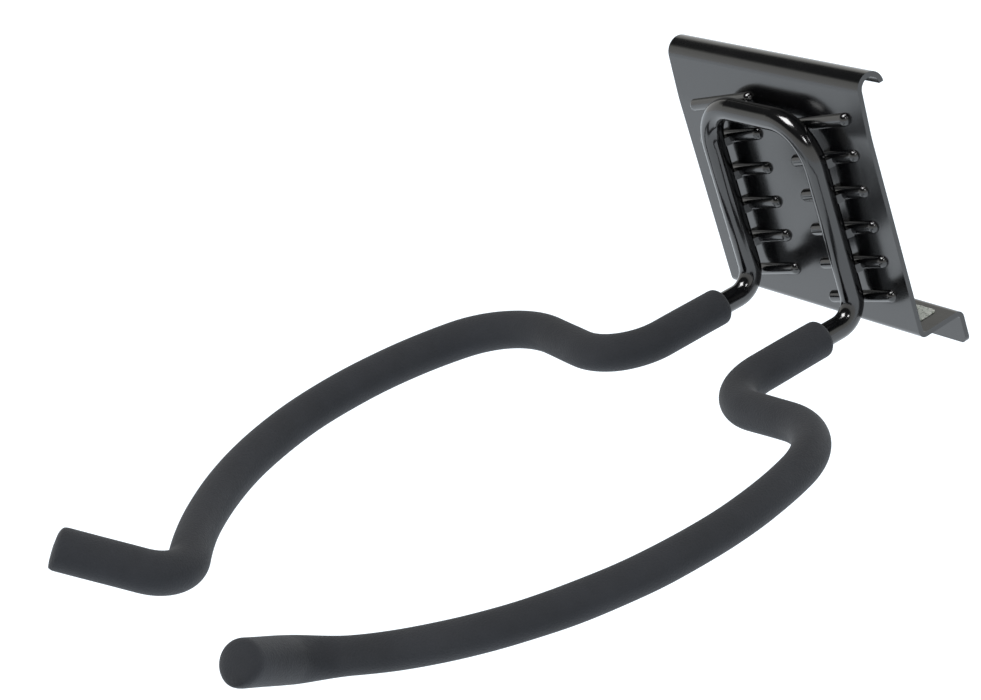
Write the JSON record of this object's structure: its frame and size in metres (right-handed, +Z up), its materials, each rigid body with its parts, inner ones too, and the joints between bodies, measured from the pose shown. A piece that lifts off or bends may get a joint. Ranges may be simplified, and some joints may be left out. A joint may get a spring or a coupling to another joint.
{
  "type": "bicycle wall rack",
  "caption": "Rail-mounted bicycle hook: a stamped steel hook plate with two columns of slanting raised ridges, carrying one bent rod whose bowed arms wear foam sleeves and end in upturned tips.",
  "frame": {"origin": "middle of the plate's flat back face, half way up the rail that the plate hooks over", "axes": "+X to the right seen from the front, +Y into the wall, +Z up"},
  "size_m": [0.2218, 0.2919, 0.1065],
  "materials": {
    "powder_coat": "gloss black powder coat over folded sheet steel",
    "powder_coat_rod": "gloss black powder coat over round steel bar",
    "foam": "matte charcoal closed-cell foam",
    "cap_vinyl": "black vinyl cap",
    "weld": "weld bead under the same black powder coat",
    "pad": "pale speckled non-slip pad"
  },
  "bodies": {
    "root": {"backplate": "powder_coat", "rod_frame": "powder_coat_rod", "foam_sleeve_right": "foam", "foam_sleeve_left": "foam", "end_cap_right": "cap_vinyl", "end_cap_left": "cap_vinyl", "weld_beads_right": "weld", "weld_beads_left": "weld", "shelf_pad": "pad"}
  },
  "joints": []
}
